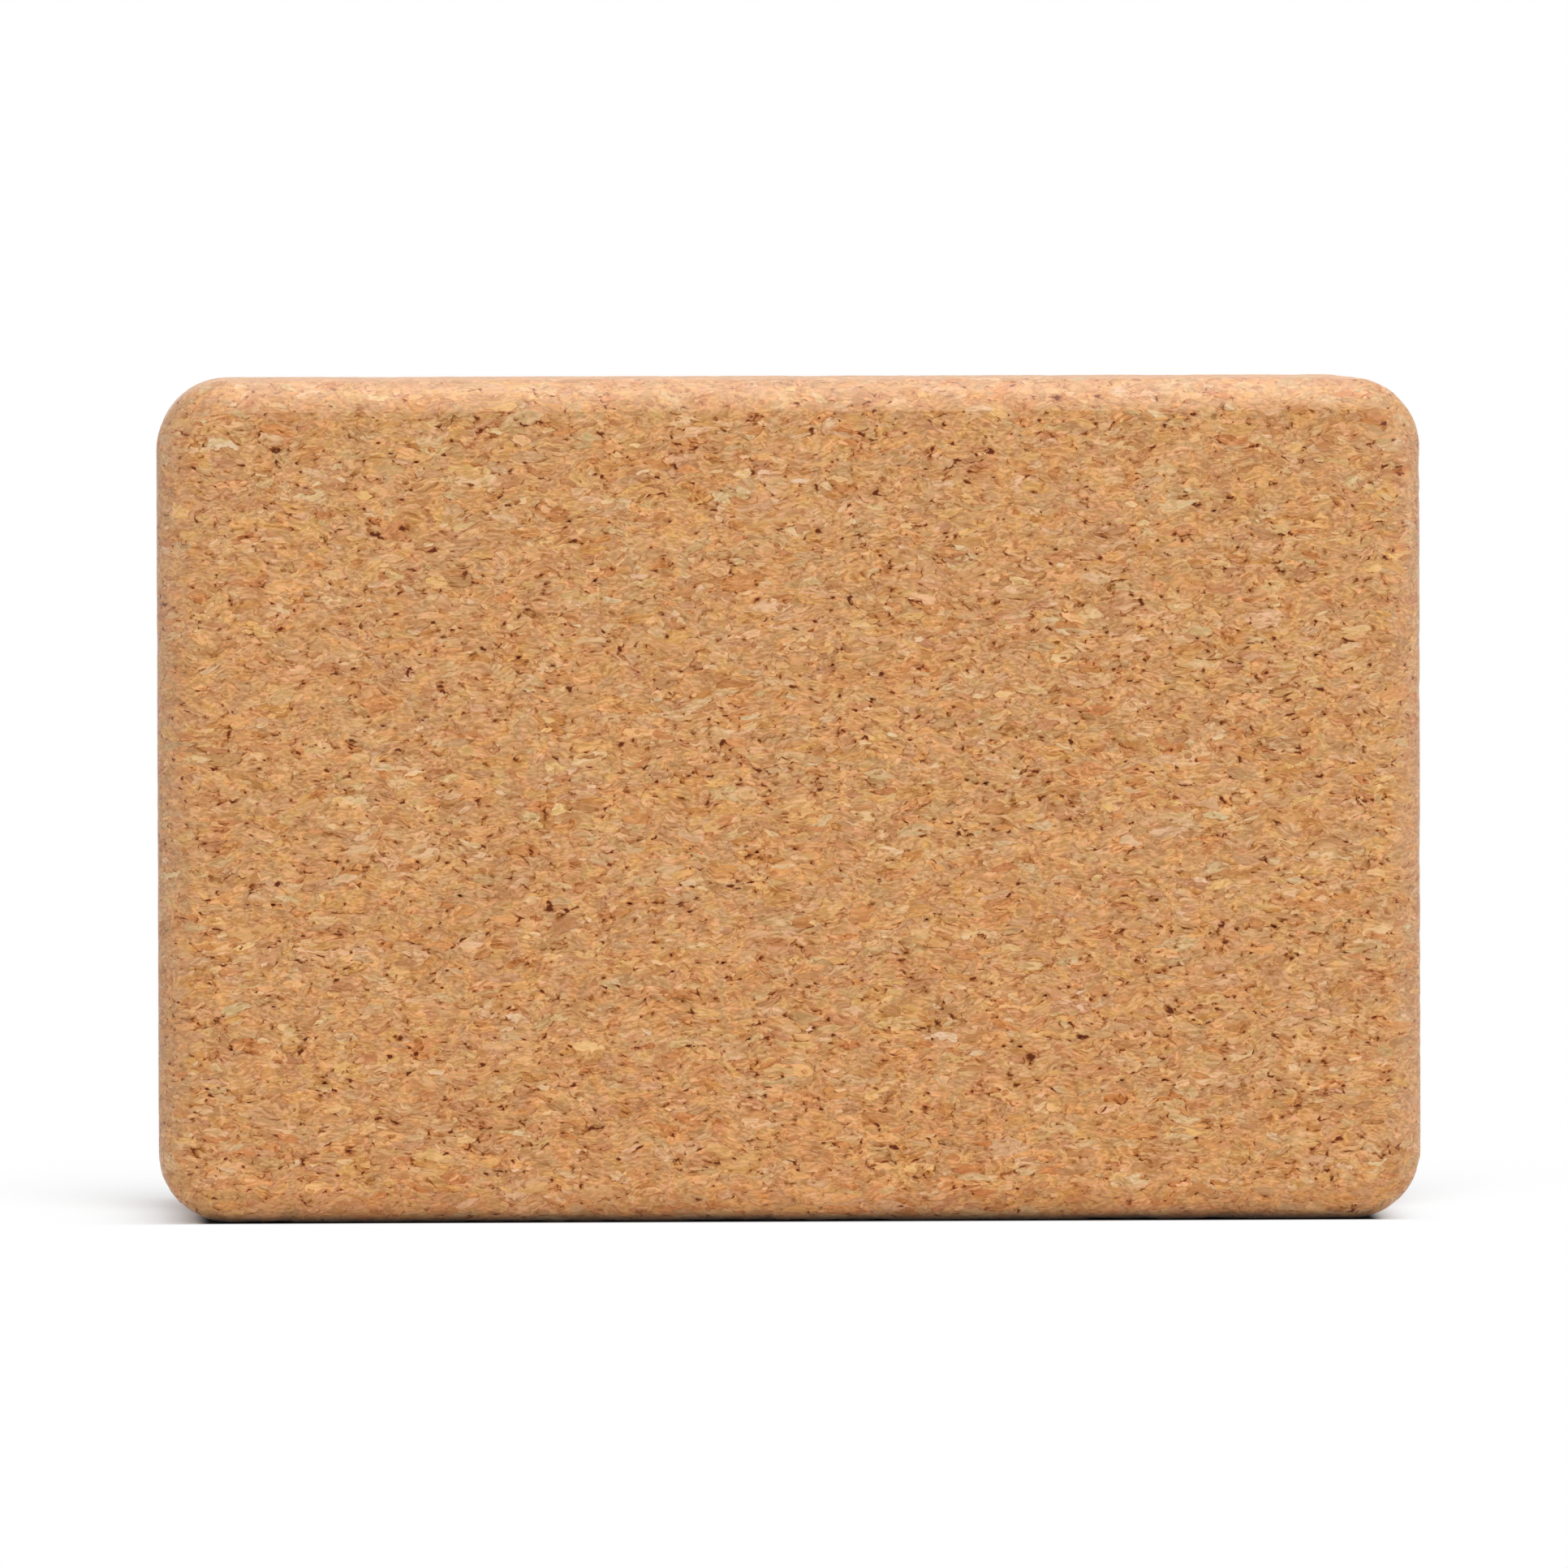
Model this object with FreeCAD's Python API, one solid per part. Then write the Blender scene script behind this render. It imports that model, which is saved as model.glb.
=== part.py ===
import FreeCAD, Part
import math
import os

# A yoga block: one solid block of pressed cork, standing on its long side.
# The origin is on the ground under the block's middle. +X runs along it, +Y to its back, +Z up.

# Driving dimensions, in millimetres
block_length = 228.6
block_depth = 101.6
block_height = 152.4
# Radius of the four corners of the outline, seen from the front
corner_radius = 12.7
# The rounded edge of a large face: an arc that leaves the side wall smoothly
# and runs out on the large face at a soft crease
roundover_on_side = 8.7
roundover_on_face = 5.8

# Worked out from them
roundover_radius = (roundover_on_side**2 + roundover_on_face**2) / (2 * roundover_on_face)
roundover_sweep = math.atan2(roundover_on_side, roundover_radius - roundover_on_face)
# The cutter of the rounded edge stands this far outside the block
cutter_reach = roundover_on_side
half_depth = block_depth / 2
quarter_turn = 90
forward = FreeCAD.Vector(0, -1, 0)


def corner_centres():
    """The centres of the outline's four corners, each with the angle where its arc starts, going round."""
    half_span = block_length / 2 - corner_radius
    low = corner_radius
    high = block_height - corner_radius
    places = [(half_span, high), (-half_span, high), (-half_span, low), (half_span, low)]
    return [(FreeCAD.Vector(x, 0, z), quarter_turn * turn) for turn, (x, z) in enumerate(places)]


def around(centre, angle, radius, y):
    """A point at this radius and angle round a corner's centre. Angles run from +X towards +Z."""
    bearing = math.radians(angle)
    offset = FreeCAD.Vector(radius * math.cos(bearing), y, radius * math.sin(bearing))
    return centre + offset


def sawn_blank():
    """The block before its edges are rounded over: the outline, carried from front to back."""
    corners = corner_centres()
    edges = []
    for (centre, angle), (next_centre, _) in zip(corners, corners[1:] + corners[:1]):
        start, middle, end = (
            around(centre, angle + part * quarter_turn, corner_radius, -half_depth)
            for part in (0, 0.5, 1)
        )
        next_start = around(next_centre, angle + quarter_turn, corner_radius, -half_depth)
        edges.append(Part.Arc(start, middle, end).toShape())
        edges.append(Part.LineSegment(end, next_start).toShape())
    large_face = Part.Face(Part.Wire(edges))
    return large_face.extrude(FreeCAD.Vector(0, block_depth, 0))


def roundover_section(centre, angle, side):
    """The waste of the rounded edge, cut across: an arc inside, and square outside the block.

    It stands at an angle round a corner's centre. Side is -1 on the front face and 1 on the back.
    """
    def point(outwards, inwards):
        return around(centre, angle, corner_radius + outwards, side * (half_depth - inwards))

    def on_arc(turn):
        outwards = roundover_radius * (math.cos(turn) - 1)
        inwards = roundover_on_side - roundover_radius * math.sin(turn)
        return point(outwards, inwards)

    on_wall = on_arc(0)
    crease = on_arc(roundover_sweep)
    arc = Part.Arc(on_wall, on_arc(roundover_sweep / 2), crease).toShape()
    outside = [
        crease,
        point(-roundover_on_face, -cutter_reach),
        point(cutter_reach, -cutter_reach),
        point(cutter_reach, roundover_on_side),
        on_wall,
    ]
    return Part.Face(Part.Wire([arc] + Part.makePolygon(outside).Edges))


def roundover_cutters(side):
    """The waste all round one large face: turned about each corner, then drawn along to the next."""
    corners = corner_centres()
    cutters = []
    for (centre, angle), (next_centre, _) in zip(corners, corners[1:] + corners[:1]):
        at_start = roundover_section(centre, angle, side)
        cutters.append(at_start.revolve(centre, forward, quarter_turn))
        at_end = roundover_section(centre, angle + quarter_turn, side)
        cutters.append(at_end.extrude(next_centre - centre))
    return cutters


def cork_block():
    """The finished block: the sawn blank with the edges of both large faces rounded over."""
    return sawn_blank().cut(roundover_cutters(-1) + roundover_cutters(1)).removeSplitter()


os.makedirs("parts", exist_ok=True)
block = cork_block()
block.exportStep("parts/cork_block.step")
print("cork_block", "valid", block.isValid(), "solids", len(block.Solids), "faces", len(block.Faces))
print("volume in litres", round(block.Volume / 1e6, 4), "box", block.BoundBox)
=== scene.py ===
"""A pressed cork yoga block, dressed around its CAD frame and set on a pale studio floor."""

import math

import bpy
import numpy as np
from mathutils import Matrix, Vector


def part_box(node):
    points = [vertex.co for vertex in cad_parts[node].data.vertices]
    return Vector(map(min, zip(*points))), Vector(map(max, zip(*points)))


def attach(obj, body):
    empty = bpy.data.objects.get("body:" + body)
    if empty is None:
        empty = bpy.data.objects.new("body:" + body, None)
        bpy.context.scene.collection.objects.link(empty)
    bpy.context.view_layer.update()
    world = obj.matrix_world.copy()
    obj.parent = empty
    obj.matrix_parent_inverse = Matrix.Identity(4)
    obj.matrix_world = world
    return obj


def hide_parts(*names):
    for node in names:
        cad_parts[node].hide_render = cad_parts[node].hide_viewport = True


bl_info = {
    "name": "Cork yoga block",
    "version": (1, 0, 0),
    "blender": (4, 5, 0),
    "location": "3D View > Sidebar > Cork block",
    "description": "Builds a pressed cork yoga block and a plain studio around its CAD frame",
    "category": "Add Mesh",
}

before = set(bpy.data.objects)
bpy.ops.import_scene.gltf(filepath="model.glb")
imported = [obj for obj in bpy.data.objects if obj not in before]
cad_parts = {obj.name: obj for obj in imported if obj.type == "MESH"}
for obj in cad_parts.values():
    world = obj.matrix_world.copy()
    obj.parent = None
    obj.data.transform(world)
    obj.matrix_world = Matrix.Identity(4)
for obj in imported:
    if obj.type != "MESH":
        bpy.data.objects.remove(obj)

MM = 0.001
NODE = "cork_block"
RIM_POINTS = 12
# Changes of red, green and blue that keep the cork's lightness
RICHER = Vector((0.062, -0.03, -0.212))
REDDER = Vector((0.042, -0.028, 0.044))
FINE_RED = Vector((0.135, -0.082, 0.06))
FINE_YELLOW = Vector((0.018, -0.003, -0.33))
CAD_LOW, CAD_HIGH = (Vector(corner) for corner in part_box(NODE))
CAD_SIZE = CAD_HIGH - CAD_LOW
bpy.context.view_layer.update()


def from_srgb(red, green, blue):
    """A colour as a screen shows it, 0 to 255, turned into the linear values that shaders use."""
    part = np.array([red, green, blue]) / 255
    return tuple(np.where(part <= 0.04045, part / 12.92, ((part + 0.055) / 1.055) ** 2.4))


def length(name, description, default):
    """A size in metres that the sidebar shows with its unit."""
    return bpy.props.FloatProperty(
        name=name, description=description, default=default, min=0.0, unit="LENGTH", precision=5
    )


def share(name, description, default):
    """A plain factor, such as a strength or a ratio."""
    return bpy.props.FloatProperty(name=name, description=description, default=default, min=0.0)


def power(name, description, default):
    """A lamp's power in watts."""
    return bpy.props.FloatProperty(
        name=name, description=description, default=default, min=0.0, subtype="POWER"
    )


def angle(name, description, degrees):
    """An angle that the sidebar shows in degrees."""
    return bpy.props.FloatProperty(
        name=name, description=description, default=math.radians(degrees), subtype="ANGLE"
    )


def colour(name, description, default):
    """A linear colour with its picker."""
    return bpy.props.FloatVectorProperty(
        name=name, description=description, default=default, subtype="COLOR", min=0.0, max=1.0
    )


class BlockShape(bpy.types.PropertyGroup):
    """Sizes of the block's form and of the roughness that is modelled in its mesh."""

    corner_radius: length("Corner radius", "Radius of the outline's four corners", 12.7 * MM)
    roundover_on_side: length("Roundover on side", "Reach of the rounded edge along the wall", 8.7 * MM)
    roundover_on_face: length("Roundover on face", "Reach of the rounded edge on a large face", 5.8 * MM)
    mesh_step: length("Mesh step", "Spacing of the surface's grid", 1.5 * MM)
    relief: length("Relief", "Depth of the hollows that sanding leaves between the granules", 0.16 * MM)
    pit_depth: length("Pit depth", "Depth of the deepest open pit", 1.4 * MM)
    pits: bpy.props.IntProperty(name="Pits", description="Number of open pits", default=340, min=0)


class CorkFinish(bpy.types.PropertyGroup):
    """Colours of the pressed cork, from the shade in its pits to its palest chips."""

    pit: colour("Pit", "The shade inside pits and cracks", from_srgb(104, 40, 0))
    umber: colour("Umber", "The edges of pits", from_srgb(141, 75, 8))
    bark: colour("Bark", "Brown lines between the flakes", from_srgb(177, 107, 50))
    tan: colour("Tan", "Most of the flakes", from_srgb(207, 142, 87))
    straw: colour("Straw", "Pale flakes", from_srgb(225, 170, 112))
    cream: colour("Cream", "Pale chips", from_srgb(242, 193, 136))
    palest: colour("Palest", "The palest lines in chips", from_srgb(251, 215, 163))


class Studio(bpy.types.PropertyGroup):
    """Where the camera stands and how the block is lit."""

    distance: length("Camera distance", "From the block's front face", 3.5)
    height: length("Camera height", "Above the floor", 175.9 * MM)
    sideways: length("Camera offset", "To the left of the block's middle", 1.2 * MM)
    picture_width: length("Picture width", "What the picture spans at the front face", 283.0 * MM)
    turn: angle("Turn", "Camera's turn round the block", 1.62)
    tilt: angle("Tilt", "Camera's tilt down", 1.581)
    roll: angle("Roll", "Camera's roll", -0.15)
    ambient: share("Ambient", "Light from all round", 0.42)
    front_gloss: share("Front gloss", "How white the surroundings in front are in reflections", 0.1)
    overhead: power("Overhead light", "Softbox above and to the right", 3.4)
    front: power("Front light", "Large soft light in front", 11.1)
    back: power("Back light", "Softbox above and behind, which glances off the top edge", 1.0)
    side: power("Side light", "Softbox behind on the right, which glances off the right edge", 0.8)
    top_panel: power("Top panel", "White panel above, seen only in the gloss", 65.0)
    right_panel: power("Right panel", "White panel on the right, seen only in the gloss", 20.0)
    left_panel: power("Left panel", "White panel on the left, seen only in the gloss", 20.0)
    floor: colour("Floor", "Colour of the floor", (0.92, 0.94, 0.97))
    shadow_left: length("Shadow left", "How far the shadow is seen to the left of the block", 10.0 * MM)
    shadow_right: length("Shadow right", "How far the shadow is seen to the right of the block", 5.0 * MM)
    shadow_before: length("Shadow before", "How far the shadow is seen before the block", 2.0 * MM)
    shadow_behind: length("Shadow behind", "How far the shadow is seen behind the middle", 70.0 * MM)
    shadow_spread: share("Shadow spread", "How much wider the shadow is seen further back", 0.15)
    # The floor's painted contact shade is darkest inside the contact bounds and fades over its reach
    contact_beside: length("Contact beside", "Full shadow beside what touches the floor", 3.5 * MM)
    contact_before: length("Contact before", "Full shadow before what touches the floor", 4.0 * MM)
    painted_shade_reach: length("Contact reach", "How far beyond full shadow the floor stays shaded", 3.0 * MM)


def value_noise(points, size, seed):
    """Smooth random values from -1 to 1.

    Random numbers stand on a cubic lattice of this size, and each point blends the eight round it
    by a smooth step of its place in the cell.
    """
    side = 64
    lattice = np.random.default_rng(seed).uniform(-1, 1, (side, side, side))
    cell = points / size
    low = np.floor(cell).astype(int)
    part = cell - low
    part = part * part * (3 - 2 * part)
    total = np.zeros(len(points))
    for corner in np.ndindex(2, 2, 2):
        weight = np.where(corner, part, 1 - part).prod(axis=1)
        i, j, k = ((low + corner) % side).T
        total += weight * lattice[i, j, k]
    return total


def outline_ring(shape):
    """Anchors and outward directions round the outline, and the columns and rows that they make.

    The ring starts in the middle of the lower left corner and runs along the bottom, up the right,
    back along the top and down the left. A point is its anchor plus a reach in its direction: on a
    straight side the anchor moves, and on a corner the direction turns about the corner's centre.
    """
    radius = shape.corner_radius
    left, right = CAD_LOW.x + radius, CAD_HIGH.x - radius
    low, high = CAD_LOW.z + radius, CAD_HIGH.z - radius
    centres = np.array([(left, low), (right, low), (right, high), (left, high)])
    half_arc = max(2, round(radius * math.pi / 4 / shape.mesh_step))
    anchors = []
    angles = []
    counts = []
    for side in range(4):
        start, end = centres[side], centres[(side + 1) % 4]
        facing = math.radians(270 + 90 * side)
        straight = round(np.linalg.norm(end - start) / shape.mesh_step)
        along = np.linspace(0, 1, straight, endpoint=False)[:, None]
        anchors += [
            np.tile(start, (half_arc, 1)),
            start + along * (end - start),
            np.tile(end, (half_arc, 1)),
        ]
        turn_in = np.linspace(-math.pi / 4, 0, half_arc, endpoint=False)
        turn_out = np.linspace(0, math.pi / 4, half_arc, endpoint=False)
        angles += [facing + turn_in, np.full(straight, facing), facing + turn_out]
        counts.append(straight + 2 * half_arc)
    angles = np.concatenate(angles)
    directions = np.stack([np.cos(angles), np.sin(angles)], axis=1)
    return np.concatenate(anchors), directions, counts[0], counts[1]


def edge_profile(shape):
    """The wall's section from the front crease to the back one: inset, depth, slope and polish.

    An arc leaves the front face at the crease and meets the side wall smoothly, the wall runs
    straight back, and the same arc turned round ends at the back face.
    """
    on_side, on_face = shape.roundover_on_side, shape.roundover_on_face
    radius = (on_side**2 + on_face**2) / (2 * on_face)
    sweep = math.atan2(on_side, radius - on_face)
    steps = round(radius * sweep / shape.mesh_step) + 1
    turn = sweep * (1 - np.concatenate([[0, 0.03], np.linspace(0.11, 1, steps)]))
    wall = CAD_SIZE.y - 2 * on_side
    straight = np.linspace(0, wall, round(wall / shape.mesh_step), endpoint=False)[1:]
    arc_inset = radius * (1 - np.cos(turn))
    arc_depth = on_side - radius * np.sin(turn)
    inset = np.concatenate([arc_inset, 0 * straight, arc_inset[::-1]])
    depth = np.concatenate([arc_depth, on_side + straight, CAD_SIZE.y - arc_depth[::-1]])
    slope = np.concatenate([-turn, 0 * straight, turn[::-1]])
    polish = np.concatenate([np.ones_like(turn), 0 * straight, np.ones_like(turn)])
    return inset, depth, slope, polish


def filled_face(border, columns, rows):
    """Points inside a closed border of four sides, by transfinite interpolation.

    Each point is what the lower and upper sides blend to across, plus what the left and right sides
    blend to along, less what the four corners blend to.
    """
    ring = np.concatenate([border, border[:1]])
    lower = ring[: columns + 1]
    right = ring[columns : columns + rows + 1]
    upper = ring[columns + rows : 2 * columns + rows + 1][::-1]
    left = ring[2 * columns + rows :][::-1]
    u = np.linspace(0, 1, columns + 1)[:, None, None]
    v = np.linspace(0, 1, rows + 1)[None, :, None]
    across = (1 - v) * lower[:, None] + v * upper[:, None]
    along = (1 - u) * left[None] + u * right[None]
    corners = (1 - v) * ((1 - u) * lower[0] + u * lower[-1]) + v * ((1 - u) * upper[0] + u * upper[-1])
    return across + along - corners


def block_surface(shape):
    """The smooth block as points, outward normals, polish, creases and quads.

    The wall is the edge profile carried round the outline. Each large face fills the border that the
    profile's end leaves, on the same points, so the surface is closed.
    """
    anchors, directions, columns, rows = outline_ring(shape)
    inset, depth, slope, polish = edge_profile(shape)
    around, stations = len(anchors), len(inset)
    reach = shape.corner_radius - inset
    flat = anchors[:, None] + reach[None, :, None] * directions[:, None]
    wall = np.empty((around, stations, 3))
    wall[:, :, 0] = flat[:, :, 0]
    wall[:, :, 1] = CAD_LOW.y + depth
    wall[:, :, 2] = flat[:, :, 1]
    out = np.empty_like(wall)
    out[:, :, 0] = directions[:, :1] * np.cos(slope)
    out[:, :, 1] = np.sin(slope)
    out[:, :, 2] = directions[:, 1:] * np.cos(slope)

    number = np.arange(around * stations).reshape(around, stations)
    after = np.roll(number, -1, axis=0)
    cells = np.stack([number[:, :-1], number[:, 1:], after[:, 1:], after[:, :-1]], axis=-1)
    quads = [cells.reshape(-1, 4)]
    points = [wall.reshape(-1, 3)]
    normals = [out.reshape(-1, 3)]
    polishes = [np.broadcast_to(polish, (around, stations)).ravel()]
    crease = np.zeros((around, stations), dtype=bool)
    crease[:, [0, -1]] = True
    creases = [crease.ravel()]
    ready = around * stations
    for station, facing in ((0, -1), (stations - 1, 1)):
        inside = filled_face(flat[:, station], columns, rows)[1:-1, 1:-1]
        count = inside.shape[0] * inside.shape[1]
        face = np.empty((count, 3))
        face[:, 0] = inside[:, :, 0].ravel()
        face[:, 1] = wall[0, station, 1]
        face[:, 2] = inside[:, :, 1].ravel()
        grid = np.empty((columns + 1, rows + 1), dtype=int)
        border = np.append(number[:, station], number[0, station])
        grid[:, 0] = border[: columns + 1]
        grid[-1] = border[columns : columns + rows + 1]
        grid[:, -1] = border[columns + rows : 2 * columns + rows + 1][::-1]
        grid[0] = border[2 * columns + rows :][::-1]
        grid[1:-1, 1:-1] = ready + np.arange(count).reshape(inside.shape[:2])
        ready += count
        cells = np.stack([grid[:-1, :-1], grid[1:, :-1], grid[1:, 1:], grid[:-1, 1:]], axis=-1)
        cells = cells.reshape(-1, 4)
        quads.append(cells if facing < 0 else cells[:, ::-1])
        points.append(face)
        normals.append(np.tile((0.0, facing, 0.0), (count, 1)))
        polishes.append(np.zeros(count))
        creases.append(np.zeros(count, dtype=bool))
    return [np.concatenate(part) for part in (points, normals, polishes, creases, quads)]


def sanded_relief(points, normals, polish, shape):
    """Moves the points inwards where sanding leaves hollows, most on the rounded edges.

    The depth is smooth noise at three sizes, cut off above, so that most of the surface stays level.
    """
    noise = sum(
        weight * value_noise(points, size * MM, seed)
        for seed, (size, weight) in enumerate([(7.0, 0.5), (3.4, 0.6), (1.9, 0.5)])
    )
    hollow = np.clip(0.15 + noise, 0, 1) * (1 + polish)
    return points - normals * (shape.relief * hollow)[:, None]


def open_pits(points, normals, quads, shape):
    """Cuts pits into some of the quads: a ragged rim of twelve points, a floor ring and a bottom.

    The rim is an ellipse about the quad's middle, wider than high, whose reach three random waves
    change round it. Each corner of the quad joins the three rim points nearest to it.
    Returns all points, how deep in a pit each lies, the quads that are left and the pits' triangles.
    """
    random = np.random.default_rng(11)
    corners = points[quads]
    shortest = np.linalg.norm(np.roll(corners, -1, axis=1) - corners, axis=2).min(axis=1)
    wide = np.flatnonzero(shortest > 0.7 * shape.mesh_step)
    chosen = random.choice(wide, min(shape.pits, len(wide)), replace=False)
    count = len(chosen)
    corners = corners[chosen]
    inward = -normals[quads[chosen]].mean(axis=1)[:, None]
    centre = corners.mean(axis=1, keepdims=True)
    right = (corners[:, 1] + corners[:, 2] - corners[:, 0] - corners[:, 3])[:, None] / 4
    up = (corners[:, 2] + corners[:, 3] - corners[:, 0] - corners[:, 1])[:, None] / 4

    bearing = np.radians(195 + 360 / RIM_POINTS * np.arange(RIM_POINTS))
    waves = np.arange(2, 5)[:, None] * bearing + random.uniform(0, 2 * math.pi, (count, 3, 1))
    ragged = 1 + (random.uniform(0, 0.3, (count, 3, 1)) * np.cos(waves)).sum(axis=1)
    size = random.beta(1.6, 2.4, (count, 1)) * 0.45 + 0.35
    reach = np.clip(size * ragged, 0.1, 0.9)[:, :, None]
    upright = np.abs(up[:, :, 2:]) > np.abs(right[:, :, 2:])
    squeeze = random.uniform(0.3, 0.65, (count, 1, 1))
    across = np.cos(bearing)[None, :, None] * right * np.where(upright, 1, squeeze)
    along = np.sin(bearing)[None, :, None] * up * np.where(upright, squeeze, 1)
    rim = centre + reach * (across + along)
    depth = (shape.pit_depth * size * random.uniform(0.6, 1.0, (count, 1)))[:, :, None]
    floor = centre + 0.65 * (rim - centre) + inward * depth
    bottom = centre + inward * depth * 1.2

    per_pit = 2 * RIM_POINTS + 1
    first = len(points) + per_pit * np.arange(count)[:, None]
    rim_at = first + np.arange(RIM_POINTS)
    floor_at = rim_at + RIM_POINTS
    bottom_at = np.broadcast_to(first + 2 * RIM_POINTS, floor_at.shape)
    corner_at = quads[chosen]
    next_corner = np.roll(corner_at, -1, axis=1)
    before, middle, after = (rim_at[:, part::3] for part in range(3))
    beyond = np.roll(before, -1, axis=1)
    next_rim, next_floor = np.roll(rim_at, -1, axis=1), np.roll(floor_at, -1, axis=1)
    triangles = [
        np.stack([corner_at, middle, before], axis=-1),
        np.stack([corner_at, after, middle], axis=-1),
        np.stack([corner_at, next_corner, after], axis=-1),
        np.stack([next_corner, beyond, after], axis=-1),
        np.stack([rim_at, next_rim, next_floor], axis=-1),
        np.stack([rim_at, next_floor, floor_at], axis=-1),
        np.stack([floor_at, next_floor, bottom_at], axis=-1),
    ]
    triangles = np.concatenate([part.reshape(-1, 3) for part in triangles])
    added = np.concatenate([rim, floor, bottom], axis=1).reshape(-1, 3)
    # How dark each point is painted, most at the bottom: the pit's dark inside and painted shade
    depths = [0.2] * RIM_POINTS + [0.8] * RIM_POINTS + [1.0]
    pit = np.concatenate([np.zeros(len(points)), np.tile(depths, count)])
    return np.concatenate([points, added]), pit, np.delete(quads, chosen, axis=0), triangles


def new_mesh_object(name, points, faces, material, on_crease=None):
    """An object at the origin with this mesh, smooth but for the edges between points on a crease."""
    mesh = bpy.data.meshes.new(name)
    mesh.from_pydata(points.tolist(), [], faces)
    mesh.polygons.foreach_set("use_smooth", np.ones(len(mesh.polygons), dtype=bool))
    if on_crease is not None:
        ends = np.empty(2 * len(mesh.edges), dtype=np.int32)
        mesh.edges.foreach_get("vertices", ends)
        mesh.edges.foreach_set("use_edge_sharp", on_crease[ends.reshape(-1, 2)].all(axis=1))
    mesh.materials.append(material)
    mesh.validate()
    made = bpy.data.objects.new(name, mesh)
    bpy.context.scene.collection.objects.link(made)
    return made


def keep_attribute(piece, name, values):
    """Stores one number per vertex for the material to read."""
    attribute = piece.data.attributes.new(name, "FLOAT", "POINT")
    attribute.data.foreach_set("value", values.astype(np.float32))


class Nodes:
    """Adds nodes to a tree. An input is a number, a colour, a vector or another node's socket."""

    def __init__(self, tree):
        self.tree = tree
        tree.nodes.clear()

    def add(self, kind, inputs, **settings):
        """A node of this kind, with its settings made first, since they can change its sockets."""
        node = self.tree.nodes.new(kind)
        for name, value in settings.items():
            setattr(node, name, value)
        for name, value in inputs.items():
            if isinstance(value, bpy.types.NodeSocket):
                self.tree.links.new(value, node.inputs[name])
            else:
                node.inputs[name].default_value = value
        return node

    def math(self, operation, *values):
        """One sum of up to three numbers."""
        return self.add("ShaderNodeMath", dict(enumerate(values)), operation=operation).outputs[0]

    def total(self, start, *parts):
        """A start value plus each part's value times its weight."""
        for value, weight in parts:
            start = self.math("MULTIPLY_ADD", value, weight, start)
        return start

    def vector(self, operation, *values):
        """One sum of vectors."""
        return self.add("ShaderNodeVectorMath", dict(enumerate(values)), operation=operation).outputs[0]

    def length(self, vector):
        """How long a vector is."""
        return self.add("ShaderNodeVectorMath", {0: vector}, operation="LENGTH").outputs["Value"]

    def noise(self, place, size, detail=1.0, roughness=0.5):
        """Cloudy noise whose blobs are about this size, with its value and colour outputs."""
        inputs = {"Vector": place, "Scale": 1 / size, "Detail": detail, "Roughness": roughness}
        return self.add("ShaderNodeTexNoise", inputs).outputs

    def shifts(self, place, size, reach, detail=1.0):
        """Random shifts of a place, up to about half the reach each way, that change over this size."""
        random = self.vector("SUBTRACT", self.noise(place, size, detail)["Color"], (0.5, 0.5, 0.5))
        return self.vector("MULTIPLY", random, reach)

    def fade(self, value, start, end, low=0.0, high=1.0):
        """A smooth change from low to high as the value goes from start to end."""
        inputs = {"Value": value, "From Min": start, "From Max": end, "To Min": low, "To Max": high}
        return self.add("ShaderNodeMapRange", inputs, interpolation_type="SMOOTHSTEP").outputs[0]

    def mix(self, kind, factor, first, second):
        """The second value over the first by this factor, for numbers, vectors or colours."""
        first_at, second_at, made = {"FLOAT": (2, 3, 0), "VECTOR": (4, 5, 1), "RGBA": (6, 7, 2)}[kind]
        if kind == "RGBA":
            first, second = (
                tone if isinstance(tone, bpy.types.NodeSocket) else (*tone, 1.0)
                for tone in (first, second)
            )
        inputs = {0: factor, first_at: first, second_at: second}
        return self.add("ShaderNodeMix", inputs, data_type=kind).outputs[made]

    def sight(self):
        """Whether a ray comes straight from the eye, and whether it comes by way of a mirror or glass."""
        path = self.add("ShaderNodeLightPath", {}).outputs
        mirrored = self.math("MAXIMUM", path["Is Glossy Ray"], path["Is Transmission Ray"])
        return path["Is Camera Ray"], mirrored

    def parts(self, vector):
        """The three numbers of a vector or a colour."""
        return self.add("ShaderNodeSeparateXYZ", {0: vector}).outputs

    def triple(self, first, second, third):
        """A vector of three numbers."""
        return self.add("ShaderNodeCombineXYZ", {0: first, 1: second, 2: third}).outputs[0]

    def again(self, random, times):
        """Another random number from a random number: the part after the point of a multiple."""
        return self.math("FRACT", self.math("MULTIPLY", random, times))

    def cast(self, *parts):
        """Colour factors round 1: each part is a number from 0 to 1 and the change that it makes at 1."""
        middle = sum((change for _, change in parts), Vector((0.0, 0.0, 0.0)))
        total = Vector((1.0, 1.0, 1.0)) - middle
        for value, change in parts:
            total = self.vector("MULTIPLY_ADD", value, 2 * change, total)
        return total

    def ramp(self, value, stops):
        """Colours by value: each stop is a place from 0 up and a colour."""
        last, _ = stops[-1]
        node = self.add("ShaderNodeValToRGB", {"Fac": self.math("DIVIDE", value, last)})
        elements = node.color_ramp.elements
        while len(elements) < len(stops):
            elements.new(1.0)
        for element, (place, tone) in zip(elements, stops):
            element.position = place / last
            element.color = (*tone, 1.0)
        return node.outputs[0]


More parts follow.
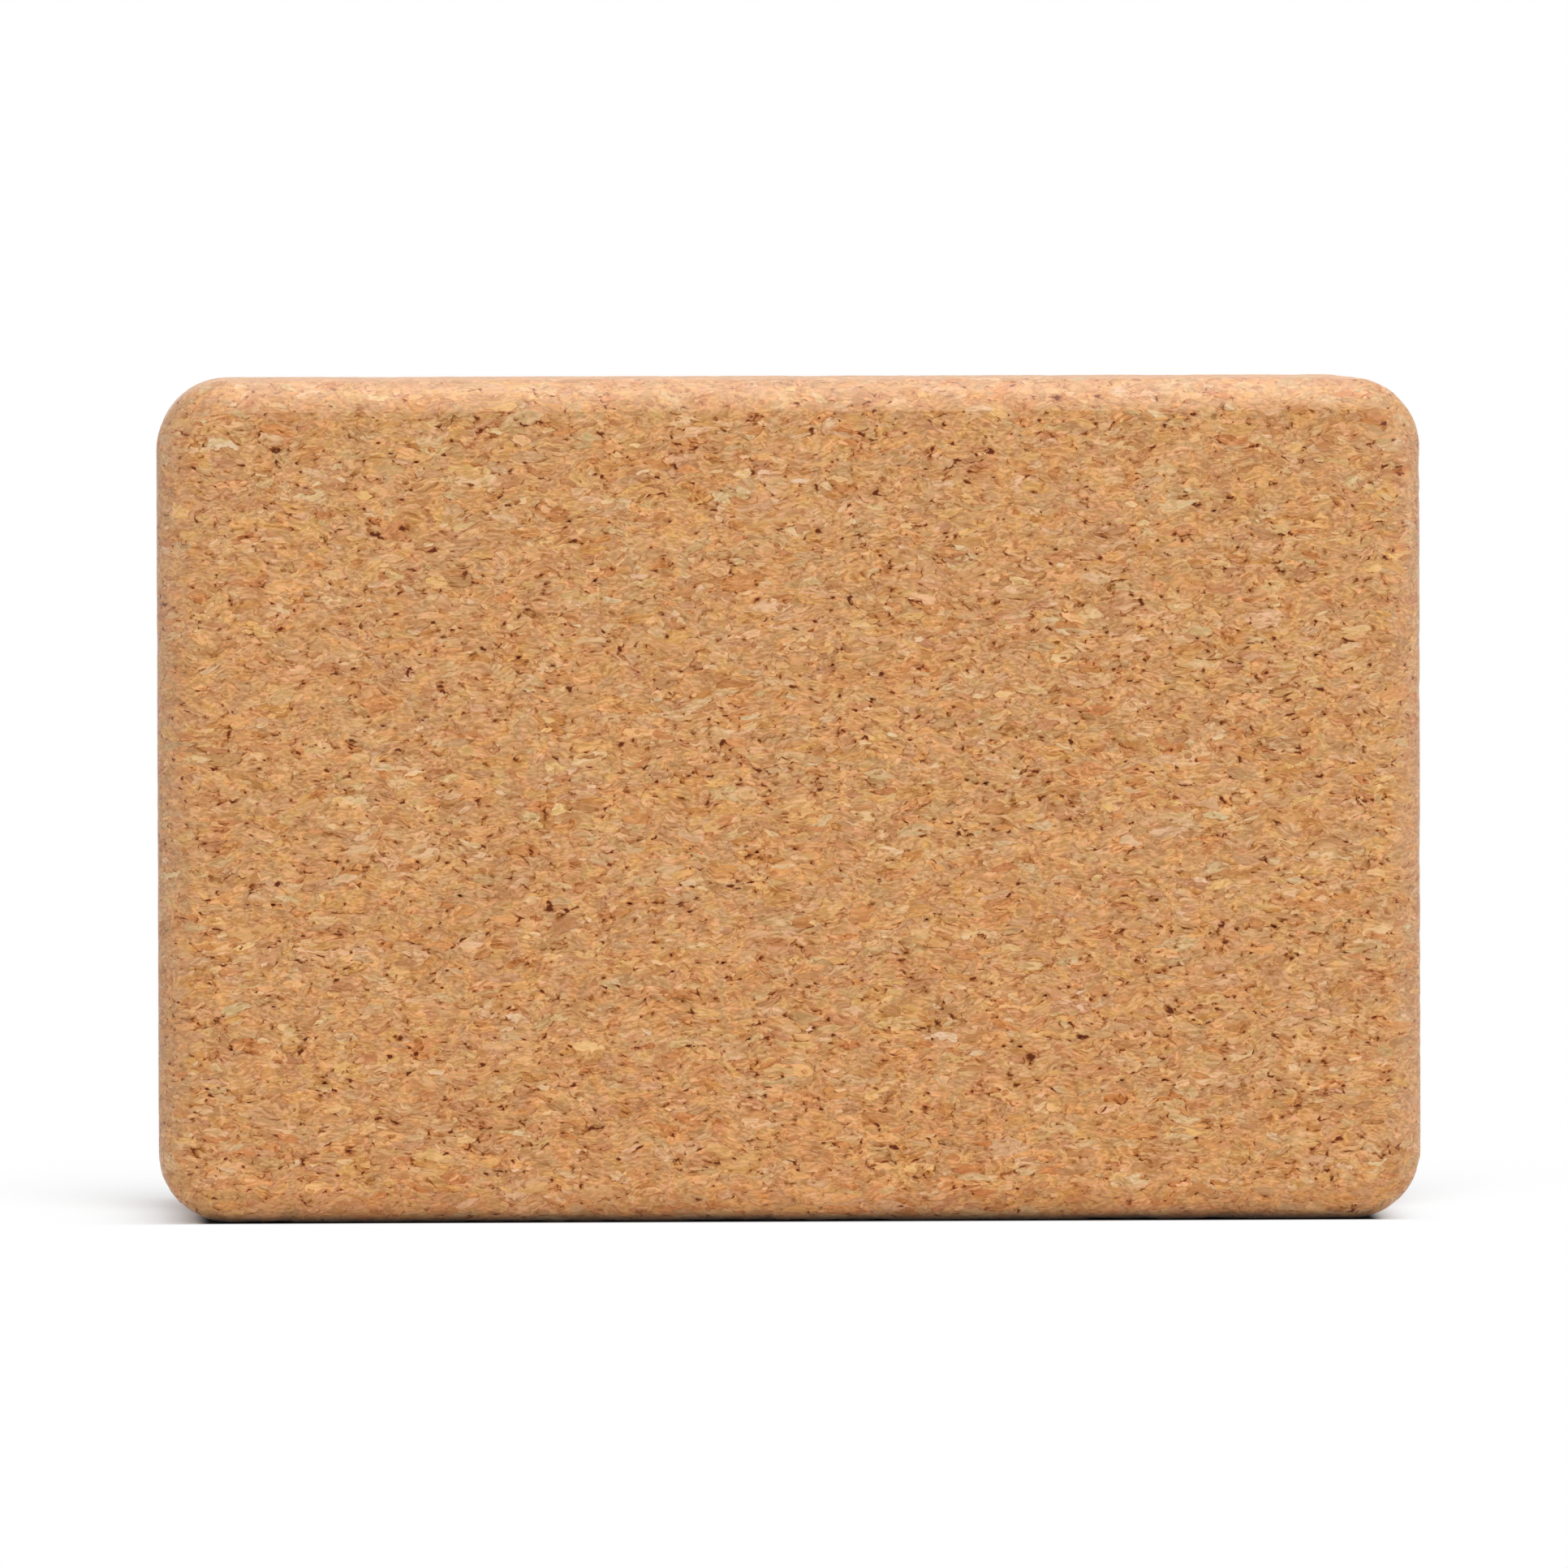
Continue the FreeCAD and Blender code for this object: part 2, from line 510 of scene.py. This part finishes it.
class FlakeLayer:
    """One layer of flakes: a flattened ball about the middle of some cells of a random pattern.

    Each flake has its own tilt and size. `cover` is 1 on a flake, `edge` is 1 along its lower edge,
    where its rim, partly a brown line and partly painted shade under the flake, is drawn, `along` is a
    place in the flake's own lines, `marks` holds its shade, how strongly it is lined and whether it is
    a pale chip, and `hue` its richness and warmth.
    """

    def __init__(self, nodes, place, size, flatness, tilt, chance):
        stretched = nodes.vector("MULTIPLY", place, (1.0, 1.0, flatness))
        inputs = {"Vector": stretched, "Scale": 1 / size, "Randomness": 1.0}
        cell = nodes.add("ShaderNodeTexVoronoi", inputs).outputs
        random = cell["Color"]
        first, second, third = nodes.parts(random)
        offset = nodes.vector("SUBTRACT", stretched, cell["Position"])
        offset = nodes.vector("MULTIPLY", offset, (1.0, 1.0, 1 / flatness))
        lean = nodes.math("MULTIPLY_ADD", second, 2 * tilt, -tilt)
        inputs = {"Vector": offset, "Angle": lean}
        turned = nodes.add("ShaderNodeVectorRotate", inputs, rotation_type="Y_AXIS").outputs[0]
        elsewhere = nodes.vector("MULTIPLY", random, (40.0, 40.0, 40.0))
        self.along = nodes.vector("MULTIPLY_ADD", turned, (0.28, 0.5, 1.1), elsewhere)
        reach = 2 / size
        unit = nodes.vector("MULTIPLY", turned, (reach, reach, reach * flatness))
        growth = nodes.fade(nodes.again(first, 17.0), 0.0, 1.0, 0.75, 1.4)
        inside = nodes.math("SUBTRACT", 1.0, nodes.math("DIVIDE", nodes.length(unit), growth))
        chosen = nodes.math("LESS_THAN", third, chance)
        self.cover = nodes.math("MULTIPLY", nodes.math("GREATER_THAN", inside, 0.0), chosen)
        nearness = nodes.fade(nodes.math("ABSOLUTE", inside), 0.17, 0.02)
        # Only the lower side gets a rim, partly a brown line and partly painted shade under the flake
        shadow_side = nodes.fade(nodes.parts(unit)[2], 0.5, -0.1)
        self.edge = nodes.math("MULTIPLY", nodes.math("MULTIPLY", nearness, shadow_side), chosen)
        shade = nodes.again(second, 13.0)
        lined = nodes.again(third, 29.0)
        chip = nodes.fade(nodes.again(first, 23.0), 0.82, 1.0)
        self.marks = nodes.triple(shade, lined, chip)
        self.hue = nodes.triple(nodes.again(first, 7.0), nodes.again(second, 19.0), 0.0)


def cork_material(finish):
    """Pressed cork: a fine ground mass drawn out in wavy layers, flakes that lie in it, and gaps."""
    material = bpy.data.materials.new("pressed_cork")
    material.use_nodes = True
    nodes = Nodes(material.node_tree)
    metres = nodes.add("ShaderNodeTexCoord", {}).outputs["Object"]
    place = nodes.vector("MULTIPLY", metres, (1 / MM, 1 / MM, 1 / MM))
    pit = nodes.add("ShaderNodeAttribute", {}, attribute_name="pit").outputs["Fac"]
    polish = nodes.add("ShaderNodeAttribute", {}, attribute_name="polish").outputs["Fac"]

    # Wavy pressed layers with ragged flakes, in millimetres
    waves = nodes.shifts(place, size=8.0, reach=(4.0, 4.0, 3.0))
    layers = nodes.vector("ADD", place, waves)
    tears = nodes.shifts(layers, size=1.4, reach=(1.9, 1.9, 0.9), detail=3.0)
    ragged = nodes.vector("ADD", layers, tears)
    small = FlakeLayer(nodes, ragged, size=2.3, flatness=2.6, tilt=0.6, chance=0.5)
    medium = FlakeLayer(nodes, ragged, size=4.4, flatness=2.9, tilt=0.5, chance=0.5)
    large = FlakeLayer(nodes, ragged, size=7.0, flatness=3.1, tilt=0.4, chance=0.4)

    # What shows at each place: the ground mass, large flakes over it, and smaller ones over those
    along = nodes.vector("MULTIPLY", ragged, (0.46, 0.46, 1.1))
    cloudy = nodes.noise(ragged, size=2.6)
    marks = nodes.triple(cloudy[0], 0.6, 0.0)
    hue = nodes.vector("MULTIPLY_ADD", cloudy["Color"], (2.0, 2.0, 0.0), (-0.5, -0.5, 0.0))
    edge = 0.0
    for layer in (large, medium):
        hue = nodes.mix("VECTOR", layer.cover, hue, layer.hue)
    for layer in (large, medium, small):
        along = nodes.mix("VECTOR", layer.cover, along, layer.along)
        marks = nodes.mix("VECTOR", layer.cover, marks, layer.marks)
        hidden = nodes.math("MULTIPLY", edge, nodes.math("SUBTRACT", 1.0, layer.cover))
        edge = nodes.math("MAXIMUM", hidden, layer.edge)
    shade, lined, chip = nodes.parts(marks)
    rich, warm, _ = nodes.parts(hue)

    # Fine lines, strong in some flakes
    grain = nodes.noise(along, size=0.48, detail=2.0)
    streak = nodes.math("SUBTRACT", nodes.fade(grain[0], 0.32, 0.68), 0.5)
    streak = nodes.math("MULTIPLY", streak, nodes.fade(lined, 0.0, 1.0, low=0.6, high=1.3))
    cloud = nodes.noise(layers, size=5.0)[0]

    # Brown rims on parts of the flakes' lower edges, partly painted shade, and gaps where rims meet
    rim_mask = nodes.fade(nodes.noise(ragged, size=1.6)[0], 0.44, 0.58)
    rim = nodes.math("MULTIPLY", edge, rim_mask)
    cluster = nodes.noise(place, size=9.0)[0]
    flattened = nodes.vector("MULTIPLY", ragged, (1.0, 1.0, 1.4))
    gap = nodes.noise(flattened, size=1.6, detail=1.6, roughness=0.45)[0]
    gap = nodes.total(gap, (edge, 0.11), (cluster, 0.07), (polish, -0.015))
    flattened = nodes.vector("MULTIPLY", ragged, (1.0, 1.0, 1.3))
    wide_gap = nodes.noise(flattened, size=3.2, detail=3.0, roughness=0.65)[0]
    wide_gap = nodes.total(wide_gap, (edge, 0.06), (cluster, 0.05), (polish, -0.015))
    gap = nodes.math("MAXIMUM", gap, nodes.math("ADD", wide_gap, 0.02))
    # Fringes, cracks and pits darken to the pit colour: partly their dark inside, partly painted shade
    fringe = nodes.fade(gap, 0.63, 0.77)
    crack = nodes.math("MAXIMUM", nodes.fade(gap, 0.755, 0.785), pit)

    # Lightness from 0 in a pit to 1 on a pale chip, evened out on the sanded edges
    parts = (
        (shade, 0.28),
        (streak, 0.24),
        (cloud, 0.22),
        (chip, 0.15),
        (rim, -0.22),
        (fringe, -0.3),
    )
    plain, sanded = 0.57, 0.7
    light = nodes.total(plain, *parts)
    light = nodes.mix("FLOAT", nodes.math("MULTIPLY", polish, 0.12), light, sanded)
    light = nodes.math("MULTIPLY", light, nodes.math("SUBTRACT", 1.0, crack))
    tones = [
        (0.0, finish.pit),
        (0.26, finish.umber),
        (0.48, finish.bark),
        (0.7, finish.tan),
        (0.86, finish.straw),
        (1.0, finish.cream),
        (1.2, finish.palest),
    ]
    body = nodes.ramp(light, tones)

    # A cast of its own for each flake, and a finer one along its lines
    grain_red, _, grain_yellow = nodes.parts(grain["Color"])
    casts = ((rich, RICHER), (warm, REDDER), (grain_red, FINE_RED), (grain_yellow, FINE_YELLOW))
    body = nodes.vector("MULTIPLY", body, nodes.cast(*casts))

    # Height of the surface in metres
    heights = ((shade, 0.03 * MM), (streak, 0.015 * MM), (rim, -0.02 * MM))
    height = nodes.total(0.0, *heights)
    bump = nodes.add("ShaderNodeBump", {"Height": height, "Distance": 1.0, "Strength": 0.8})
    inputs = {
        "Base Color": body,
        "Roughness": 0.5,
        "Specular IOR Level": 0.15,
        "Sheen Weight": 0.2,
        "Sheen Roughness": 0.5,
        "Normal": bump.outputs[0],
    }
    shader = nodes.add("ShaderNodeBsdfPrincipled", inputs)
    nodes.add("ShaderNodeOutputMaterial", {"Surface": shader.outputs[0]})
    return material


class CORK_OT_block(bpy.types.Operator):
    """Builds the cork block in place of its CAD solid"""

    bl_idname = "cork.block"
    bl_label = "Build cork block"

    def execute(self, context):
        shape = context.scene.cork_shape
        points, normals, polish, crease, quads = block_surface(shape)
        points = sanded_relief(points, normals, polish, shape)
        points, pit, quads, triangles = open_pits(points, normals, quads, shape)
        added = len(points) - len(polish)
        polish, crease = np.pad(polish, (0, added)), np.pad(crease, (0, added))
        faces = quads.tolist() + triangles.tolist()
        cork = cork_material(context.scene.cork_finish)
        block = new_mesh_object("pressed_cork_block", points, faces, cork, crease)
        keep_attribute(block, "pit", pit)
        keep_attribute(block, "polish", polish)
        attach(block, "root")
        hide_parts(NODE)
        return {"FINISHED"}


def surroundings(studio):
    """White all round to the eye, with a softer light of its own on surfaces.

    In reflections and glass it is white behind the block and at its sides, and dims towards the front.
    """
    world = bpy.data.worlds.new("studio_surroundings")
    world.use_nodes = True
    world.cycles.sampling_method = "NONE"
    nodes = Nodes(world.node_tree)
    to_eye, mirrored = nodes.sight()
    backwards = nodes.parts(nodes.add("ShaderNodeTexCoord", {}).outputs["Generated"])[1]
    backdrop = nodes.fade(backwards, -0.9, 0.1, studio.front_gloss, 1.0)
    level = nodes.mix("FLOAT", mirrored, studio.ambient, backdrop)
    level = nodes.mix("FLOAT", to_eye, level, 1.0)
    white = nodes.add("ShaderNodeBackground", {"Color": (1.0, 1.0, 1.0, 1.0), "Strength": level})
    nodes.add("ShaderNodeOutputWorld", {"Surface": white.outputs[0]})
    return world


def floor_material(studio, footprint):
    """Pale floor that looks white away from the block, so that only the shadow near it is seen.

    The share of white is one less a falling exponential of a power of the distance from the block's
    footprint. That distance is counted in reaches: a short one before the block, a longer one beside it,
    and the longest from its middle backwards, where the one beside it grows too. The white lights
    nothing. The floor's own colour is painted darker towards the contact: a painted contact shade that
    also dims the light the floor throws back onto the block's base. As it doesn't count the way back,
    it stays darkest all along the strip behind the block.
    """
    material = bpy.data.materials.new("studio_floor")
    material.use_nodes = True
    nodes = Nodes(material.node_tree)
    place = nodes.add("ShaderNodeTexCoord", {}).outputs["Object"]
    across, back, _ = nodes.parts(place)
    half_width, half_depth = footprint
    beside = nodes.math("SUBTRACT", nodes.math("ABSOLUTE", across), half_width)
    before = nodes.math("SUBTRACT", nodes.math("MULTIPLY", back, -1.0), half_depth)
    behind = nodes.math("MAXIMUM", back, 0.0)
    beyond = nodes.vector("MAXIMUM", nodes.triple(beside, before, behind), (0.0, 0.0, 0.0))
    on_right = nodes.math("GREATER_THAN", across, 0.0)
    reach_beside = nodes.mix("FLOAT", on_right, studio.shadow_left, studio.shadow_right)
    reach_beside = nodes.total(reach_beside, (behind, studio.shadow_spread))
    reaches = nodes.triple(reach_beside, studio.shadow_before, studio.shadow_behind)
    away = nodes.length(nodes.vector("DIVIDE", beyond, reaches))
    steepness, painted_shade_darkest = 1.5, 0.12
    fall = nodes.math("POWER", away, steepness)
    shadow = nodes.math("EXPONENT", nodes.math("MULTIPLY", fall, -1.0))
    seen = nodes.math("ADD", *nodes.sight())
    whitening = nodes.math("MULTIPLY", nodes.math("SUBTRACT", 1.0, shadow), seen)
    # Painted contact shade: the floor's own colour is darkened near what touches the floor
    near = nodes.length(nodes.vector("MULTIPLY", beyond, (1.0, 1.0, 0.0)))
    left_by_painted_shade = nodes.fade(near, 0.0, studio.painted_shade_reach, low=painted_shade_darkest)
    tone = nodes.mix("RGBA", left_by_painted_shade, (0.0, 0.0, 0.0), studio.floor)
    plain = nodes.add("ShaderNodeBsdfDiffuse", {"Color": tone}).outputs[0]
    white = nodes.add("ShaderNodeEmission", {"Color": (1.0, 1.0, 1.0, 1.0), "Strength": 1.0}).outputs[0]
    mixed = nodes.add("ShaderNodeMixShader", {0: whitening, 1: plain, 2: white}).outputs[0]
    nodes.add("ShaderNodeOutputMaterial", {"Surface": mixed})
    return material


def soft_light(name, energy, size, place, target, in_gloss=True, in_shade=True):
    """A square lamp that faces the target. It may be left out of the gloss, or be seen only there."""
    data = bpy.data.lights.new(name, "AREA")
    data.energy = energy
    data.size = size
    lamp = bpy.data.objects.new(name, data)
    lamp.location = place
    lamp.rotation_euler = (Vector(target) - Vector(place)).to_track_quat("-Z", "Y").to_euler()
    lamp.visible_camera = False
    lamp.visible_glossy = in_gloss
    lamp.visible_diffuse = in_shade
    bpy.context.scene.collection.objects.link(lamp)


class CORK_OT_stage(bpy.types.Operator):
    """Sets up the floor, the white surroundings, the lights and the camera"""

    bl_idname = "cork.stage"
    bl_label = "Build studio"

    def execute(self, context):
        scene = context.scene
        studio = scene.cork_studio
        scene.view_settings.view_transform = "Standard"

        reach = 5.0
        ground = np.array([(-1.0, -1.0, 0.0), (1.0, -1.0, 0.0), (1.0, 1.0, 0.0), (-1.0, 1.0, 0.0)])
        shape = scene.cork_shape
        # Where the floor shows its own shadow in full and its painted contact shade is darkest
        footprint = (
            CAD_SIZE.x / 2 - shape.corner_radius + studio.contact_beside,
            CAD_SIZE.y / 2 - shape.roundover_on_side + studio.contact_before,
        )
        floor = floor_material(studio, footprint)
        new_mesh_object("studio_floor", reach * ground, [[0, 1, 2, 3]], floor)

        scene.world = surroundings(studio)
        middle = (0.0, 0.0, CAD_SIZE.z / 2)
        soft_light("overhead_softbox", studio.overhead, 0.8, (0.2, -0.25, 1.3), middle)
        soft_light("front_softbox", studio.front, 1.4, (0.1, -1.7, 0.45), middle, in_gloss=False)
        soft_light("back_softbox", studio.back, 0.8, (0.1, 0.6, 1.2), middle)
        soft_light("side_softbox", studio.side, 0.8, (1.2, 0.5, 0.4), middle)
        soft_light("top_panel", studio.top_panel, 1.6, (0.1, -0.1, 1.25), middle, in_shade=False)
        soft_light("right_panel", studio.right_panel, 1.2, (1.3, -0.1, 0.3), middle, in_shade=False)
        soft_light("left_panel", studio.left_panel, 1.2, (-1.3, -0.1, 0.3), middle, in_shade=False)

        data = bpy.data.cameras.new("camera")
        data.sensor_width = 36.0
        data.lens = data.sensor_width * studio.distance / studio.picture_width
        data.clip_end = 50.0
        camera = bpy.data.objects.new("camera", data)
        turned = Matrix.Rotation(-studio.turn, 4, "Z")
        front = Vector((0.0, CAD_LOW.y, 0.0))
        stand = front + turned @ Vector((-studio.sideways, -studio.distance, studio.height))
        aim = Matrix.Rotation(math.pi / 2 - studio.tilt, 4, "X") @ Matrix.Rotation(studio.roll, 4, "Z")
        camera.matrix_world = Matrix.Translation(stand) @ turned @ aim
        scene.collection.objects.link(camera)
        scene.camera = camera
        return {"FINISHED"}


class CORK_PT_panel(bpy.types.Panel):
    """Sizes and colours of the block, with the buttons that build it"""

    bl_idname = "CORK_PT_panel"
    bl_label = "Cork block"
    bl_space_type = "VIEW_3D"
    bl_region_type = "UI"
    bl_category = "Cork block"

    def draw(self, context):
        scene = context.scene
        for button, group in (
            (CORK_OT_block, scene.cork_shape),
            (CORK_OT_block, scene.cork_finish),
            (CORK_OT_stage, scene.cork_studio),
        ):
            for name in group.__annotations__:
                self.layout.prop(group, name)
            self.layout.operator(button.bl_idname)


GROUPS = {"cork_shape": BlockShape, "cork_finish": CorkFinish, "cork_studio": Studio}
CLASSES = (*GROUPS.values(), CORK_OT_block, CORK_OT_stage, CORK_PT_panel)


def register():
    for made in CLASSES:
        bpy.utils.register_class(made)
    for name, group in GROUPS.items():
        setattr(bpy.types.Scene, name, bpy.props.PointerProperty(type=group))


def unregister():
    for name in GROUPS:
        delattr(bpy.types.Scene, name)
    for made in reversed(CLASSES):
        bpy.utils.unregister_class(made)


def main():
    register()
    bpy.ops.cork.block()
    bpy.ops.cork.stage()


if __name__ == "__main__":
    main()
